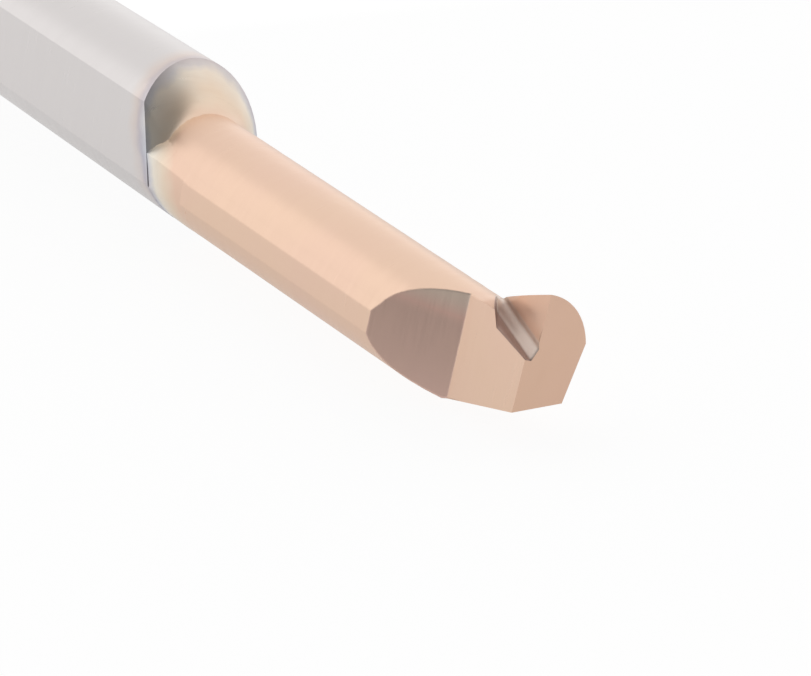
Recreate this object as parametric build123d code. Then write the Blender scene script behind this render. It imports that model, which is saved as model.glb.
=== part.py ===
from build123d import *
import os
from math import atan2, cos, degrees, radians, sin, sqrt, tan

# A solid-carbide boring bar, ground from one rod.
# X runs along the shank axis from the rear face to the head. The bar is built with
# its cutting tip towards +Z and its rake face and clamping flat towards -Y, and is
# then rolled about X to lie as it comes to rest on its round back.

# Shank
overall_length = 58.0
shank_diameter = 6.0
flat_depth = 0.39
rear_rounding = 0.4

# Shoulder between the shank and the neck
reach = 22.67           # from the shoulder, on the shank axis, to the cutting tip
shoulder_lean = 24.9    # degrees off square, further back on the tip's side
shoulder_turn = 7.6     # degrees off square, further back on the side away from the flat

# Neck: a slender round set off the shank axis, away from the tip, with a facet, a flat
# and a fuller heel on the rake side
neck_diameter = 4.44    # at its root
neck_taper = 0.36       # degrees a side, slimmer towards the head
neck_drop = 0.886       # the neck's axis lies this far below the shank's
underside_cut = 0.106   # off the neck's underside, at its root
neck_flat_width = 2.29  # from the shank axis out to the neck's flat
neck_flat_top = 0.66    # below the shank axis
neck_flat_foot = 1.55
facet_top = 0.15        # above the shank axis, where the facet over the flat meets the round
heel_width = 1.15       # from the shank axis to where the heel meets the round
heel_bulge = 1.98       # the heel's middle, out from the shank axis

# Head
tip_height = 2.54       # cutting tip above the shank axis
relief_radius = 2.84    # arc that clears the bore behind the tip
relief_offset = 0.33    # centre of that arc, in front of the rake plane
trail_angle = 20.7      # degrees to the axis of the cone behind the tip
flank_height = 0.36     # where the arc ends in the straight flank
flank_width = 2.20      # from the rake plane to the flank's upper end
flank_angle = 10.9      # degrees by which the flank leans in below
flank_run_out = 4.0     # degrees to the axis, so that the flank fades into the neck
front_clearance = 5.7   # degrees, falling back behind the cutting edge
front_lean = 1.1        # degrees, falling back below the tip

# Ground faces on the rake side
ramp_angle = 29.0       # degrees to the axis
land_height = 0.47      # the flat land stands proud of the rake plane
land_length = 3.58      # from the ramp to the front face
keel_angle = 15.6       # degrees to the axis of the chamfer below the head
keel_drop = 1.72        # chamfer below the shank axis, at the front
keel_turn = 5.5         # degrees that the chamfer turns up behind the head

# Rake face, and the chip gullet between it and the land
rake_angle = 8.5        # degrees, falling away behind the front cutting edge
gullet_rise = 13.0      # degrees to the axis, towards the tip
ridge_height = 0.18     # edge of the land above the shank axis, at the front
ridge_length = 1.84     # along the axis, to where the gullet runs out
wall_depth = 0.30       # steep side, from the ridge down to the gullet's foot
wall_undercut = 0.07
valley_height = 0.52    # lowest line of the gullet above the shank axis
valley_depth = 0.07     # below the rake face
lip_height = 0.74       # where the gullet meets the rake face
run_out_turn = 52.0     # degrees from the axis, of the gullet's back end
run_out_lean = 19.0

# Worked out from the sizes above
shank_radius = shank_diameter / 2
shank_length = overall_length - reach
neck_radius = neck_diameter / 2
margin = 2 * shank_diameter     # how far a cutting body reaches past the work
spare = 0.1 * shank_diameter    # length of blank that the front face cuts away


def rod(radius, front_radius, start, length, y=0, z=0):
    """Round bar along X, straight or tapered, with its rear face at x = start."""
    base = Plane(origin=(start, y, z), z_dir=(1, 0, 0))
    ends = (Align.CENTER, Align.CENTER, Align.MIN)
    if radius == front_radius:
        return base * Cylinder(radius, length, align=ends)
    return base * Cone(radius, front_radius, length, align=ends)


def beyond(point, normal, size=2 * margin):
    """Cutting block that fills the space beyond a plane, on its normal's side."""
    return Plane(origin=point, z_dir=normal) * Pos(0, 0, size / 2) * Box(size, size, size)


def shank():
    blank = rod(shank_radius, shank_radius, 0, overall_length)
    rear_edge = blank.faces().sort_by(Axis.X)[0].edges()
    blank = fillet(rear_edge, rear_rounding)
    facing = (1, tan(radians(shoulder_turn)), tan(radians(shoulder_lean)))
    blank -= beyond((shank_length, 0, 0), facing, 2 * overall_length)
    return blank - beyond((0, flat_depth - shank_radius, 0), (0, -1, 0), 3 * overall_length)


def on_neck(width):
    """Height at which the neck's round, at its root, is this far out below its axis."""
    return -neck_drop - sqrt(neck_radius ** 2 - width ** 2)


def neck():
    section = Plane(origin=(shank_length, 0, 0), x_dir=(0, 1, 0), z_dir=(1, 0, 0))
    flat_top = (-neck_flat_width, -neck_flat_top)
    flat_foot = (-neck_flat_width, -neck_flat_foot)
    facet_edge = (-sqrt(neck_radius ** 2 - (facet_top + neck_drop) ** 2), facet_top)
    heel_end = (-heel_width, on_neck(heel_width))
    heel_middle = (-heel_bulge, (flat_foot[1] + heel_end[1]) / 2)
    heel = Line(flat_top, flat_foot) + ThreePointArc(flat_foot, heel_middle, heel_end)
    heel += Polyline(heel_end, (0, -neck_drop), facet_edge, flat_top)
    outline = make_face(heel) + Pos(0, -neck_drop) * Circle(neck_radius)
    outline &= Circle(min(shank_radius, neck_drop + neck_radius - underside_cut))
    body = extrude(section * outline, reach + spare, taper=neck_taper)
    return body + extrude(section * outline, -shank_diameter)


def above_rake_face():
    """Cutting block on the chip side of the rake face."""
    return beyond((overall_length, 0, 0), (-tan(radians(rake_angle)), -1, 0))


def flare():
    """Cone behind the cutting tip, cut away on the chip side of the rake face."""
    centre_height = tip_height - sqrt(relief_radius ** 2 - relief_offset ** 2)
    slope = tan(radians(trail_angle))
    length = 0.8 * relief_radius / slope
    profile = Polyline((-length, 0), (spare, 0), (spare, relief_radius + spare * slope))
    profile += Spline((spare, relief_radius + spare * slope), (-length, 0.2 * relief_radius))
    profile += Line((-length, 0.2 * relief_radius), (-length, 0))
    turned = revolve(make_face(profile), Axis.X)
    return Pos(overall_length, -relief_offset, centre_height) * turned - above_rake_face()


def gullet():
    """Cutting body of the chip gullet, which opens onto the rake face."""
    section = Plane(origin=(overall_length, 0, 0), x_dir=(0, 1, 0), z_dir=(1, 0, 0))
    outline = Polyline(
        (-margin, ridge_height),
        (-land_height, ridge_height),
        (wall_depth - land_height, ridge_height - wall_undercut),
        (valley_depth, valley_height),
        (0, lip_height),
        (0, margin),
        (-margin, margin),
        close=True)
    backwards = (-1, tan(radians(rake_angle)), tan(radians(gullet_rise)))
    groove = extrude(section * make_face(outline), margin / 2, dir=backwards, both=True)
    turn, lean = radians(run_out_turn), radians(run_out_lean)
    ridge_end = (overall_length - ridge_length, -land_height, ridge_height + ridge_length * tan(radians(gullet_rise)))
    return groove - beyond(ridge_end, (-cos(turn) * cos(lean), -sin(turn) * cos(lean), -sin(lean)))


def head_faces():
    """Cutting bodies of the ramp and land, the keel chamfer, the flank and the front."""
    ramp = radians(ramp_angle)
    corner = (overall_length - land_length, -land_height, 0)
    land = beyond(corner, (sin(ramp), -cos(ramp), 0)) & beyond(corner, (0, -1, 0))
    keel = beyond((overall_length, 0, -keel_drop), (tan(radians(keel_angle)), tan(radians(keel_turn)), -1))
    flank_lean, run_out = radians(flank_angle), radians(flank_run_out)
    flank = beyond((overall_length, flank_width, flank_height),
                   (tan(run_out), cos(flank_lean), -sin(flank_lean)))
    front = beyond((overall_length, 0, tip_height),
                   (1, tan(radians(front_clearance)), -tan(radians(front_lean))))
    return [land, keel, flank, front]


def boring_bar():
    blank = neck() + flare()
    for cut in head_faces() + [gullet()]:
        blank -= cut
    return shank() + blank


def at_rest(shape):
    """Roll the bar about the shank axis until its centre of mass hangs straight below."""
    centre = shape.center(CenterOf.MASS)
    roll = degrees(atan2(centre.Y, -centre.Z))
    print("rolled by", roll, "degrees")
    return Rot(-roll, 0, 0) * shape


bar = at_rest(boring_bar())
os.makedirs("parts", exist_ok=True)
export_step(bar, "parts/boring_bar.step")
print("volume", bar.volume, bar.bounding_box())
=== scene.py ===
from math import asin, atan2, cos, hypot, pi, radians, sin, sqrt

import bpy
from mathutils import Matrix, Vector


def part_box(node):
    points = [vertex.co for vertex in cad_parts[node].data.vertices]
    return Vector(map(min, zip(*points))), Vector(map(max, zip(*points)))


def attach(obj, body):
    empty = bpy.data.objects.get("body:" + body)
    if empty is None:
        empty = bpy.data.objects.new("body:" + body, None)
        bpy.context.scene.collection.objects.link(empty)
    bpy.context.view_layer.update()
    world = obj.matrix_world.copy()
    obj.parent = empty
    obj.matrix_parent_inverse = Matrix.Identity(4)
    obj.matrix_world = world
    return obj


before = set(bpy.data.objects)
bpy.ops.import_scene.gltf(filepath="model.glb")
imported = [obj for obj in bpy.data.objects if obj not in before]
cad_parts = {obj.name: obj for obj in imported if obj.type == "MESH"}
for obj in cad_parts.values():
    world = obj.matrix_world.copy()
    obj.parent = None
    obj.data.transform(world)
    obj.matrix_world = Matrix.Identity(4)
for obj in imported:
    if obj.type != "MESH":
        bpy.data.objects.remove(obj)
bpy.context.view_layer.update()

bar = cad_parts["boring_bar"]
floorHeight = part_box("boring_bar")[0].z
bpy.ops.object.select_all(action="DESELECT")


# small helpers for building node trees

def addNode(tree, kind, label, **settings):
    node = tree.nodes.new(kind)
    node.label = label
    for name, value in settings.items():
        setattr(node, name, value)
    return node


def feed(tree, node, inputs):
    # a value is set on the socket, and another node's output is linked to it
    for name, value in inputs.items():
        if isinstance(value, bpy.types.NodeSocket):
            tree.links.new(value, node.inputs[name])
        else:
            node.inputs[name].default_value = value


def maths(tree, operation, first, second=0.0, third=0.0, clamp=False, label=""):
    node = addNode(tree, "ShaderNodeMath", label, operation=operation, use_clamp=clamp)
    feed(tree, node, {0: first, 1: second, 2: third})
    return node.outputs[0]


def ramp(tree, factor, stops, label=""):
    node = addNode(tree, "ShaderNodeValToRGB", label)
    feed(tree, node, {"Fac": factor})
    marks = node.color_ramp.elements
    marks[0].position, marks[0].color = stops[0][0], (*stops[0][1], 1)
    marks[1].position, marks[1].color = stops[-1][0], (*stops[-1][1], 1)
    for place, colour in stops[1:-1]:
        mark = marks.new(place)
        mark.color = (*colour, 1)
    return node.outputs["Color"]


def span(tree, value, low, high, toLow=0.0, toHigh=1.0, label=""):
    node = addNode(tree, "ShaderNodeMapRange", label, interpolation_type="SMOOTHSTEP")
    feed(tree, node, {"Value": value, "From Min": low, "From Max": high,
                      "To Min": toLow, "To Max": toHigh})
    return node.outputs["Result"]


def mixColour(tree, factor, first, second, blend="MIX", label=""):
    node = addNode(tree, "ShaderNodeMix", label, data_type="RGBA", blend_type=blend)
    feed(tree, node, {0: factor})
    for place, value in ((6, first), (7, second)):
        if isinstance(value, bpy.types.NodeSocket):
            tree.links.new(value, node.inputs[place])
        else:
            node.inputs[place].default_value = (*value, 1)
    return node.outputs[2]


def mixValue(tree, factor, first, second, label=""):
    node = addNode(tree, "ShaderNodeMix", label, data_type="FLOAT")
    feed(tree, node, {0: factor, 2: first, 3: second})
    return node.outputs[0]


def both(tree, masks, label=""):
    # one mask, full where all of these are
    result = masks[0]
    for mask in masks[1:]:
        result = maths(tree, "MULTIPLY", result, mask)
    result.node.label = label
    return result


def noise(tree, place, scale, detail, label=""):
    node = addNode(tree, "ShaderNodeTexNoise", label)
    feed(tree, node, {"Vector": place, "Scale": scale, "Detail": detail})
    return node.outputs["Fac"]


def newMaterial(name):
    material = bpy.data.materials.new(name)
    material.use_nodes = True
    tree = material.node_tree
    return material, tree, tree.nodes["Principled BSDF"]


# camera
view = {
    "position": (0.133185, -0.050918, 0.052676),
    "aim": (0.044018, 0.003510, -0.006373),
    "roll": -4.318,         # degrees
    "lens": 137.64,         # mm
    "sensor": 36,           # mm
    "nearest": 0.002,       # m, what is closer isn't drawn
}


def addCamera():
    bpy.ops.object.camera_add(location=view["position"])
    camera = bpy.context.object
    camera.name = "mainCamera"
    sight = Vector(view["aim"]) - Vector(view["position"])
    turn = sight.to_track_quat("-Z", "Y").to_matrix() @ Matrix.Rotation(radians(view["roll"]), 3, "Z")
    camera.rotation_euler = turn.to_euler()
    camera.data.lens = view["lens"]
    camera.data.sensor_width = view["sensor"]
    camera.data.clip_start = view["nearest"]
    bpy.context.scene.camera = camera


addCamera()
bpy.context.scene.view_settings.view_transform = "Standard"
print("camera placed")

# studio: a white floor, a soft white surround and one soft lamp
studio = {
    "floorSize": 3.0,
    "floorColour": (0.86, 0.86, 0.86),
    "floorRoughness": 0.8,
    "floorWhite": 0.85,            # share of plain white that the eye sees on the floor
    "floorLevel": 1.08,            # brightness of that white
    "floorSheen": 0.7,             # share of plain glow in what the bar mirrors of the floor
    "nearGlow": 0.90,              # brightness of the mirrored floor close to the bar
    "farGlow": 1.14,               # and further off, times the surround
    "glowReach": (0.012, 0.06),    # m from the head, where the one fades into the other
    "surround": 0.93,              # strength of the surround
    "backGlow": 1.25,              # brighter on the far side from the camera
    "backReach": (-0.6, -0.95),    # cosine off the shaded side, where that begins and is full
    "shadeCentre": (0.054, 0, 0),
    "shadeSide": (0.743, -0.454, 0.492),
    "shadeFrom": 0.15,             # cosine off the shaded side where the shade begins
    "shadeTo": 0.48,               # and where it is full
    "shadeLevel": 0.24,
    "lampPower": 0.05,
    "lampSize": 0.3,
    "lampPlace": (-0.32, -0.20, 0.24),
    "lampAim": (0.03, 0, 0),
}


def shadeLevel(tree, direction):
    # brightness of the studio in a direction, dark round the camera
    lean = addNode(tree, "ShaderNodeVectorMath", "towards the shaded side", operation="DOT_PRODUCT")
    feed(tree, lean, {0: direction, 1: Vector(studio["shadeSide"]).normalized()})
    level = span(tree, lean.outputs["Value"], studio["shadeFrom"], studio["shadeTo"],
                 studio["surround"], studio["shadeLevel"], "falls off towards the camera")
    behind = span(tree, lean.outputs["Value"], *studio["backReach"], 1.0, studio["backGlow"],
                  "brighter behind")
    return maths(tree, "MULTIPLY", level, behind)


def addFloor():
    bpy.ops.mesh.primitive_plane_add(size=studio["floorSize"], location=(0, 0, floorHeight))
    floor = bpy.context.object
    floor.name = "floor"
    material, tree, shader = newMaterial("paleFloor")
    feed(tree, shader, {"Base Color": (*studio["floorColour"], 1), "Roughness": studio["floorRoughness"],
                        "Specular IOR Level": 0.0})
    path = addNode(tree, "ShaderNodeLightPath", "what looks at the floor")
    geometry = addNode(tree, "ShaderNodeNewGeometry", "place on the floor")
    away = addNode(tree, "ShaderNodeVectorMath", "from the bar", operation="SUBTRACT")
    feed(tree, away, {0: geometry.outputs["Position"], 1: studio["shadeCentre"]})
    direction = addNode(tree, "ShaderNodeVectorMath", "direction from the bar", operation="NORMALIZE")
    feed(tree, direction, {0: away.outputs[0]})
    distance = addNode(tree, "ShaderNodeVectorMath", "distance from the bar", operation="LENGTH")
    feed(tree, distance, {0: away.outputs[0]})
    far = span(tree, distance.outputs["Value"], *studio["glowReach"])
    level = maths(tree, "MULTIPLY", shadeLevel(tree, direction.outputs[0]), studio["farGlow"])
    glow = mixValue(tree, far, studio["nearGlow"], level, "mirrored floor")
    seen = maths(tree, "MAXIMUM", path.outputs["Is Camera Ray"], path.outputs["Is Transmission Ray"])
    share = maths(tree, "MULTIPLY", seen, studio["floorWhite"])
    sheen = maths(tree, "MULTIPLY", path.outputs["Is Glossy Ray"], studio["floorSheen"])
    share = maths(tree, "MAXIMUM", share, sheen)
    white = addNode(tree, "ShaderNodeEmission", "plain white")
    straight = maths(tree, "MULTIPLY", seen, studio["floorLevel"])
    feed(tree, white, {"Strength": maths(tree, "MAXIMUM", straight, glow)})
    blend = addNode(tree, "ShaderNodeMixShader", "white with the shadow kept")
    feed(tree, blend, {0: share, 1: shader.outputs["BSDF"], 2: white.outputs["Emission"]})
    tree.links.new(blend.outputs["Shader"], tree.nodes["Material Output"].inputs["Surface"])
    floor.data.materials.append(material)


def addSurround():
    world = bpy.data.worlds.new("softSurround")
    bpy.context.scene.world = world
    world.use_nodes = True
    tree = world.node_tree
    place = addNode(tree, "ShaderNodeTexCoord", "direction")
    path = addNode(tree, "ShaderNodeLightPath", "what looks at the surround")
    seen = maths(tree, "MAXIMUM", path.outputs["Is Camera Ray"], path.outputs["Is Transmission Ray"])
    strength = maths(tree, "MAXIMUM", shadeLevel(tree, place.outputs["Generated"]), seen)
    feed(tree, tree.nodes["Background"], {"Color": (1, 1, 1, 1), "Strength": strength})


def addLamp():
    place = Vector(studio["lampPlace"])
    bpy.ops.object.light_add(type="AREA", location=place)
    lamp = bpy.context.object
    lamp.name = "softLamp"
    lamp.data.shape = "SQUARE"
    lamp.data.size = studio["lampSize"]
    lamp.data.energy = studio["lampPower"]
    lamp.rotation_euler = (Vector(studio["lampAim"]) - place).to_track_quat("-Z", "Y").to_euler()


addFloor()
addSurround()
addLamp()
print("studio lit")

# the bar upright, with its tip up, in mm: what the finish and the added pieces are placed by
bench = {
    "roll": 18.869,                # degrees that the bar is rolled about X as it lies
    "length": 58.0,
    "shankRadius": 3.0,
    "shoulderX": 35.33,            # where the shoulder meets the shank's axis
    "shoulderLean": 0.464,         # back per mm of height
    "shoulderTurn": 0.133,         # back per mm towards the far side
}

# bare ground carbide, and a thin coating on the neck and head, coloured by its thickness
finish = {
    "coatAtShoulder": 0.24,
    "coatPast": 0.30,              # thicker per mm past the shoulder
    "coatInside": 0.24,            # thicker per mm in from the shank's round
    "coatCloud": 0.25,             # how uneven it is
    "bareColour": (0.74, 0.705, 0.695),
    "coatColours": [
        (0.24, (0.66, 0.63, 0.65)),
        (0.33, (0.52, 0.52, 0.60)),
        (0.44, (0.66, 0.68, 0.73)),
        (0.54, (0.93, 0.87, 0.77)),
        (0.76, (0.90, 0.75, 0.60)),
        (1.0, (0.88, 0.62, 0.48))],
    "bareBelow": 0.3,              # thickness under which the bare carbide shows through
    "goldColour": (0.89, 0.65, 0.47),
    "goldShare": 0.35,
    "headTint": (0.95, 0.90, 0.87),
    "headReach": (54.5, 57.8),     # mm along the bar, where the head's tint begins and is full
    "rampTint": (1.0, 0.97, 1.06),
    # painted light: the ramp lightened towards its top
    "rampPaintedLight": (1.50, 1.32, 1.32),
    "rough": (0.27, 0.36),         # least and most roughness between the grinding marks
    "markStretch": (14.0, 0.6, 0.6),
    "markStrength": 0.25,
    "markDepth": 0.000002,         # m
    "edge": 0.00010,               # m, how far the neck's edges are eased
}

# chip gullet in the head, with painted light and shade in its colours
gullet = {
    "turn": 0.149,                 # mm across per mm back from the front
    "rise": 0.231,                 # mm up per mm back from the front
    "ridge": (-0.469, -0.462),     # mm off the axis, where the land gives way to it
    "low": (0.06, 0.10),           # mm above the axis at the front, its lower edge
    "end": (56.16, -0.47, 0.605),
    "endFacing": (-0.582, -0.745, -0.326),
    # painted light: the gullet's floor lightened as if lit
    "floorColour": (1.0, 0.84, 0.74),
    # painted shade: the gullet's steep side darkened
    "wallShadeColour": (0.60, 0.42, 0.36),
    # its far side, given less of that painted light
    "farColour": (0.84, 0.65, 0.54),
    "metal": 0.6,                  # how far it still mirrors like plain metal
    "rough": 0.25,                 # added roughness round it
    "edge": 0.00025,               # m, how far its edges are eased
}


def coatBar(tree, grain, x, y, z, past):
    # colour of the bare shank and of the coating
    square = maths(tree, "ADD", maths(tree, "MULTIPLY", y, y), maths(tree, "MULTIPLY", z, z))
    radius = maths(tree, "SQRT", square)
    inside = maths(tree, "SUBTRACT", bench["shankRadius"], radius, clamp=True,
                   label="in from the shank's round")
    cloud = noise(tree, grain, 0.9, 3.0, "uneven coating")
    coat = maths(tree, "MULTIPLY_ADD", past, finish["coatPast"], finish["coatAtShoulder"])
    coat = maths(tree, "MULTIPLY_ADD", inside, finish["coatInside"], coat)
    coat = maths(tree, "MULTIPLY_ADD", cloud, finish["coatCloud"], coat, clamp=True,
                 label="coating thickness")
    stops = [(0.0, finish["bareColour"])] + finish["coatColours"]
    colour = ramp(tree, coat, stops, "coating colours")
    slow = noise(tree, grain, 0.25, 2.0, "slow change of hue")
    gold = span(tree, slow, 0.3, 0.7, 0.0, finish["goldShare"])
    colour = mixColour(tree, gold, colour, finish["goldColour"])
    bare = span(tree, coat, 0.0, finish["bareBelow"], 1.0, 0.0)
    return mixColour(tree, bare, colour, finish["bareColour"])


def tintHead(tree, colour, x, z, facingX, facingY):
    # the rake face and front are darker gold, the land isn't, and the ramp is mauve, with painted light
    # making it lighter at its top
    offLand = maths(tree, "MAXIMUM", span(tree, facingX, -0.05, -0.12), span(tree, facingX, 0.5, 0.9))
    toFront = both(tree, [span(tree, x, *finish["headReach"]), offLand])
    colour = mixColour(tree, toFront, colour, finish["headTint"], "MULTIPLY", "golden head")
    onRamp = both(tree, [span(tree, facingX, 0.40, 0.46), span(tree, facingY, -0.7, -0.8)])
    colour = mixColour(tree, onRamp, colour, finish["rampTint"], "MULTIPLY", "mauve ramp")
    # painted light: the ramp's top lightened, as if it caught more light there
    rampTopLightMask = both(tree, [onRamp, span(tree, z, -0.2, 1.0)])
    return mixColour(tree, rampTopLightMask, colour, finish["rampPaintedLight"], "MULTIPLY", "lighter at its top")


def colourGullet(tree, colour, upright, facingX):
    # colour with the gullet's painted light and shade in it, a mask inside the gullet and a wider, softer
    # one round it
    place = addNode(tree, "ShaderNodeSeparateXYZ", "place")
    feed(tree, place, {0: upright})
    x, y, z = place.outputs
    ahead = maths(tree, "SUBTRACT", bench["length"], x)
    across = maths(tree, "MULTIPLY_ADD", ahead, -gullet["turn"], y)
    above = maths(tree, "MULTIPLY_ADD", ahead, -gullet["rise"], z)
    back = addNode(tree, "ShaderNodeVectorMath", "from the gullet's back end", operation="SUBTRACT")
    feed(tree, back, {0: upright, 1: gullet["end"]})
    beyond = addNode(tree, "ShaderNodeVectorMath", "past its back end", operation="DOT_PRODUCT")
    feed(tree, beyond, {0: back.outputs[0], 1: gullet["endFacing"]})
    offRidge = span(tree, y, *gullet["ridge"])
    offFoot = span(tree, above, *gullet["low"])
    offFront = span(tree, facingX, 0.9, 0.7)
    within = both(tree, [offRidge, span(tree, across, 0.16, 0.10), offFoot, span(tree, above, 0.85, 0.65),
                         offFront, span(tree, beyond.outputs["Value"], 0.03, 0.0)], "in the gullet")
    around = both(tree, [offRidge, span(tree, across, 0.50, 0.10), offFoot, span(tree, above, 1.4, 0.9),
                         span(tree, x, 54.9, 55.3), offFront], "round the gullet")
    # painted light: the gullet's floor lightened
    colour = mixColour(tree, within, colour, gullet["floorColour"])
    # its far side, with less of the painted light
    onFar = both(tree, [within, span(tree, above, 0.48, 0.56)], "its far side")
    colour = mixColour(tree, onFar, colour, gullet["farColour"])
    # painted shade on the gullet's steep side
    wallShadeMask = both(tree, [within, span(tree, across, -0.13, -0.20)], "its steep side")
    return mixColour(tree, wallShadeMask, colour, gullet["wallShadeColour"]), within, around


def finishBar():
    material, tree, shader = newMaterial("groundCarbide")
    coords = addNode(tree, "ShaderNodeTexCoord", "")
    roll = (radians(bench["roll"]), 0, 0)
    upright = addNode(tree, "ShaderNodeMapping", "bar turned upright, in mm", vector_type="POINT")
    feed(tree, upright, {"Vector": coords.outputs["Object"], "Rotation": roll,
                         "Scale": (1000, 1000, 1000)})
    facing = addNode(tree, "ShaderNodeMapping", "normal turned upright", vector_type="VECTOR")
    feed(tree, facing, {"Vector": coords.outputs["Normal"], "Rotation": roll})
    place = addNode(tree, "ShaderNodeSeparateXYZ", "place")
    feed(tree, place, {0: upright.outputs[0]})
    normal = addNode(tree, "ShaderNodeSeparateXYZ", "normal")
    feed(tree, normal, {0: facing.outputs[0]})
    x, y, z = place.outputs
    facingX, facingY = normal.outputs["X"], normal.outputs["Y"]

    # how far past the shoulder, in mm along the bar
    past = maths(tree, "SUBTRACT", x, bench["shoulderX"])
    past = maths(tree, "MULTIPLY_ADD", z, bench["shoulderLean"], past)
    past = maths(tree, "MULTIPLY_ADD", y, bench["shoulderTurn"], past, label="past the shoulder")
    colour = coatBar(tree, upright.outputs[0], x, y, z, past)
    colour = tintHead(tree, colour, x, z, facingX, facingY)
    colour, within, around = colourGullet(tree, colour, upright.outputs[0], facingX)

    # fine grinding marks
    stretch = addNode(tree, "ShaderNodeMapping", "marks round the bar")
    feed(tree, stretch, {"Vector": upright.outputs[0], "Scale": finish["markStretch"]})
    marks = noise(tree, stretch.outputs[0], 1.0, 4.0, "grinding marks")
    rough = span(tree, marks, 0.2, 0.8, *finish["rough"])
    rough = maths(tree, "MULTIPLY_ADD", around, gullet["rough"], rough)
    onNeck = both(tree, [span(tree, past, 0.6, 1.2), span(tree, x, 55.2, 54.8)])
    easing = maths(tree, "MULTIPLY", onNeck, finish["edge"])
    easing = maths(tree, "MULTIPLY_ADD", around, gullet["edge"], easing)
    soft = addNode(tree, "ShaderNodeBevel", "softened edges", samples=6)
    feed(tree, soft, {"Radius": easing})
    bump = addNode(tree, "ShaderNodeBump", "grinding marks")
    feed(tree, bump, {"Height": marks, "Strength": finish["markStrength"],
                      "Distance": finish["markDepth"], "Normal": soft.outputs["Normal"]})
    metal = mixValue(tree, within, 1.0, gullet["metal"], "metal")
    feed(tree, shader, {"Base Color": colour, "Metallic": metal, "Roughness": rough,
                        "Normal": bump.outputs["Normal"]})
    bar.data.materials.clear()
    bar.data.materials.append(material)
    return material


# root of the neck, in mm and upright
root = {
    "flatAt": -2.61,               # the shank's flat, off the axis
    "neckRadius": 2.22,
    "neckDrop": 0.886,
    "insetRound": 0.006,           # how far the pieces stay in from the shank's round
    "insetFlat": 0.002,            # and from its flat
}

# scooped collar between the shoulder and the neck
collarSizes = {
    "foot": (2.137, 36.217, -0.833, 0.323),    # radius, x, height, lean of its front end
    "curl": 0.5,                   # how far forward it fades into the neck
    "straight": 0.6,               # share of its slope that is straight
    "straightRings": 4,
    "curvedRings": 8,
    "steps": 180,                  # round the bar
    "smooth": 25,                  # degrees, sharper edges stay sharp
}

# run-out of the neck's flat, facet and heel, up to the shank's flat
runOutSizes = {
    "end": 38.7,                   # x where the flat and facet reach their full depth
    "start": 0.3,                  # how far behind the shoulder it begins
    "overrun": 1.1,                # climb at its hidden start, 1 at the shoulder
    "rise": 0.36,                  # how far they have climbed at the shoulder
    "facetSwing": 27.0,            # degrees that the facet's upper edge climbs by then
    "flatClimb": 0.33,             # and how far the flat's top does
    "facetTop": 0.15,
    "flat": (2.29, -0.66, -1.55),  # off the axis, its top and its foot
    "heel": (1.15, 1.98),          # end and middle, off the axis
    "sink": 0.03,                  # how far an edge runs in under the bar's surface
    "heelSteps": 8,
    "rings": 15,
    "smooth": 20,                  # degrees, sharper edges stay sharp
}


def lay(x, y, z):
    # upright mm to the bar as it lies, in metres, kept inside the shank's round and flat
    y = max(y, root["flatAt"] + root["insetFlat"])
    radius, most = hypot(y, z), bench["shankRadius"] - root["insetRound"]
    if radius > most:
        y, z = (value * most / radius for value in (y, z))
    turn = radians(bench["roll"])
    return Vector((x, y * cos(turn) + z * sin(turn), z * cos(turn) - y * sin(turn))) / 1000


def shoulderAt(y, z):
    # x of the shoulder's plane at this place
    return bench["shoulderX"] - z * bench["shoulderLean"] - y * bench["shoulderTurn"]


def addSheet(rings, steps):
    # a grid to be wrapped round the bar, with each vertex's ring and step
    bpy.ops.mesh.primitive_grid_add(x_subdivisions=rings, y_subdivisions=steps)
    sheet = bpy.context.object
    counts = [(vertex, round((vertex.co.x + 1) / 2 * rings), round((vertex.co.y + 1) / 2 * steps))
              for vertex in sheet.data.vertices]
    return sheet, counts


def join(piece, name, material):
    piece.name = name
    piece.data.materials.append(material)
    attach(piece, "root")
    return piece


def closeShell():
    # merges the seam and fills both ends of the piece just made
    bpy.ops.object.mode_set(mode="EDIT")
    bpy.ops.mesh.select_all(action="SELECT")
    bpy.ops.mesh.remove_doubles(threshold=0.000001)
    bpy.ops.mesh.fill_holes(sides=0)
    bpy.ops.mesh.select_all(action="DESELECT")
    bpy.ops.object.mode_set(mode="OBJECT")


def addCollar(material):
    # straight from the shoulder's rim, then curving in to the neck
    straightRings, curvedRings = collarSizes["straightRings"], collarSizes["curvedRings"]
    footRadius, footX, footHeight, footLean = collarSizes["foot"]
    collar, counts = addSheet(straightRings + curvedRings, collarSizes["steps"])
    for vertex, ring, step in counts:
        turn = pi * (1 - 2 * step / collarSizes["steps"])
        y, z = -bench["shankRadius"] * sin(turn), bench["shankRadius"] * cos(turn)
        y = max(y, root["flatAt"])
        rim = Vector((shoulderAt(y, z), y, z))
        y, z = -footRadius * sin(turn), footRadius * cos(turn)
        foot = Vector((footX - z * footLean, y, z + footHeight))
        inner, outer = rim.lerp(foot, collarSizes["straight"]), foot + Vector((collarSizes["curl"], 0, 0))
        if ring < straightRings:
            place = rim.lerp(inner, ring / straightRings)
        else:
            along = (ring - straightRings) / curvedRings
            place = inner.lerp(foot, along).lerp(foot.lerp(outer, along), along)
        vertex.co = lay(*place)
    closeShell()
    bpy.ops.object.shade_smooth_by_angle(angle=radians(collarSizes["smooth"]))
    return join(collar, "collar", material)


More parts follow.
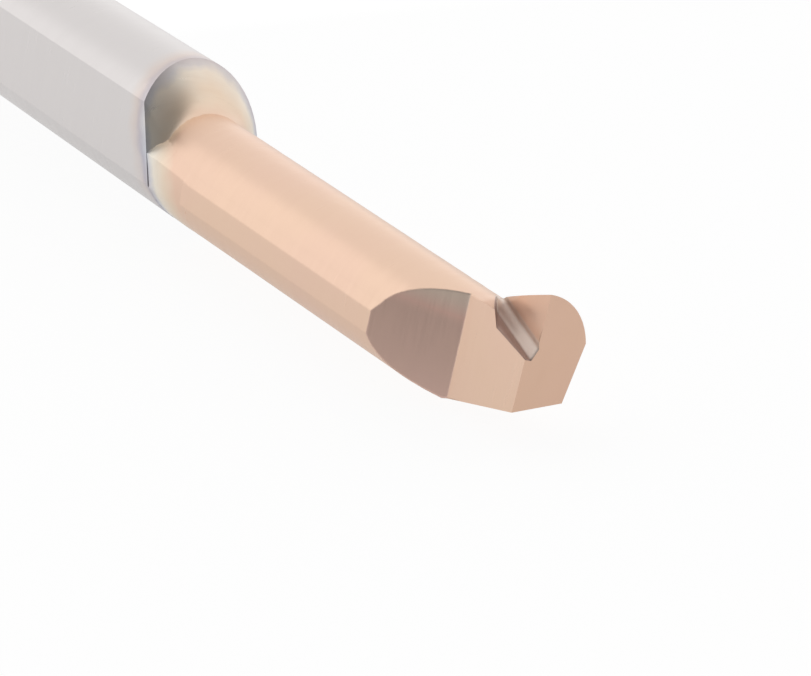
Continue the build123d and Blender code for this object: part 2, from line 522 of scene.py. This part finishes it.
def heelArc(start, middle, end):
    # places on the round through these three, after the first
    toStart, toEnd = start - middle, end - middle
    across = 2 * (toStart.x * toEnd.y - toStart.y * toEnd.x)
    centre = middle + Vector((toEnd.y * toStart.length_squared - toStart.y * toEnd.length_squared,
                              toStart.x * toEnd.length_squared - toEnd.x * toStart.length_squared)) / across
    first = atan2(start.y - centre.y, start.x - centre.x)
    sweep = (atan2(end.y - centre.y, end.x - centre.x) - first) % (2 * pi)
    radius, steps = (start - centre).length, runOutSizes["heelSteps"]
    angles = [first + sweep * step / steps for step in range(1, steps + 1)]
    return [(centre.x + radius * cos(angle), centre.y + radius * sin(angle)) for angle in angles]


def runOutSection(fade):
    # outline of the facet, flat and heel, with their climb fading from 1 to 0
    sink, neckRadius, neckDrop = runOutSizes["sink"], root["neckRadius"], root["neckDrop"]
    rise = runOutSizes["rise"] * fade ** 2 - sink
    edgeTurn = asin((runOutSizes["facetTop"] + neckDrop) / neckRadius)
    edgeTurn += radians(runOutSizes["facetSwing"] * fade)
    out, top, foot = runOutSizes["flat"]
    heelEnd, heelMiddle = runOutSizes["heel"]
    low = -neckDrop - sqrt(neckRadius ** 2 - heelEnd ** 2)
    corners = [(0, -neckDrop),
               ((sink - neckRadius) * cos(edgeTurn), (neckRadius - sink) * sin(edgeTurn) - neckDrop),
               (-out - rise, top + runOutSizes["flatClimb"] * fade),
               (-out - rise, foot)]
    middle = Vector((-heelMiddle - rise, (foot + low) / 2))
    return corners + heelArc(Vector(corners[-1]), middle, Vector((sink - heelEnd, low + sink)))


def addRunOut(material):
    rings, steps = runOutSizes["rings"] - 1, runOutSizes["heelSteps"] + 4
    runOut, counts = addSheet(rings, steps)
    for vertex, ring, step in counts:
        along = ring / rings
        y, z = runOutSection(runOutSizes["overrun"] * (1 - along))[-step % steps]
        start = shoulderAt(y, z) - runOutSizes["start"]
        vertex.co = lay(start + (runOutSizes["end"] - start) * along, y, z)
    closeShell()
    bpy.ops.object.shade_smooth_by_angle(angle=radians(runOutSizes["smooth"]))
    return join(runOut, "runOut", material)


carbide = finishBar()
addCollar(carbide)
addRunOut(carbide)
print("bar finished")
